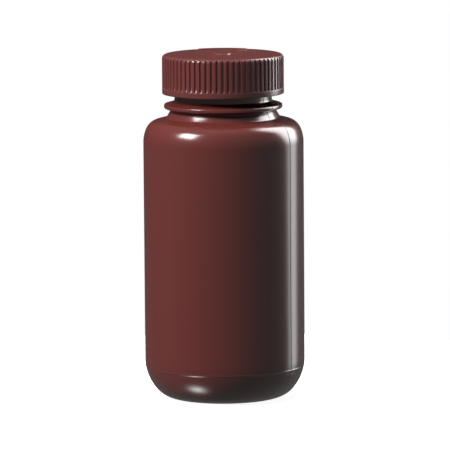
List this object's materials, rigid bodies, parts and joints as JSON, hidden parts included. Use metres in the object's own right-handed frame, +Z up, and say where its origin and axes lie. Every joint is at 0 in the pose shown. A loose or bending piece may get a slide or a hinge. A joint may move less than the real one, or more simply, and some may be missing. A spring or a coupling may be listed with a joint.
{
  "type": "wide-mouth bottle",
  "caption": "Round blow-moulded wide-mouth bottle with a hollow body, a stepped neck with a collar ring, and a ribbed screw cap over a sealing disc.",
  "frame": {"origin": "on the bottle's axis, in the plane of the ring that it stands on", "axes": "+Z up along the bottle's axis; the bottle is round, and +Y points to the side of the cap's top that carries the raised bar, away from the camera"},
  "size_m": [0.0615, 0.0614, 0.1329],
  "materials": {
    "bottle": "opaque amber-brown moulded polyethylene, smooth and glossy",
    "liner": "off-white foamed sealing disc",
    "cap": "opaque amber-brown moulded polypropylene, satin gloss"
  },
  "bodies": {
    "bottle": {"bottle": "bottle"},
    "liner": {"liner": "liner"},
    "cap": {"cap": "cap"}
  },
  "joints": [
    {"name": "liner_rise", "type": "slide", "parent": "bottle", "child": "liner", "axis": [0, 0, 1], "range_m": [0, 0.017]},
    {"name": "cap_turn", "type": "hinge", "parent": "liner", "child": "cap", "pos_m": [0, 0, 0.125], "axis": [0, 0, 1], "range_deg": [0, 1440]}
  ],
  "couplings": [
    {"joint": "liner_rise", "follows": "cap_turn", "m_per_rad": 0.00067375}
  ]
}
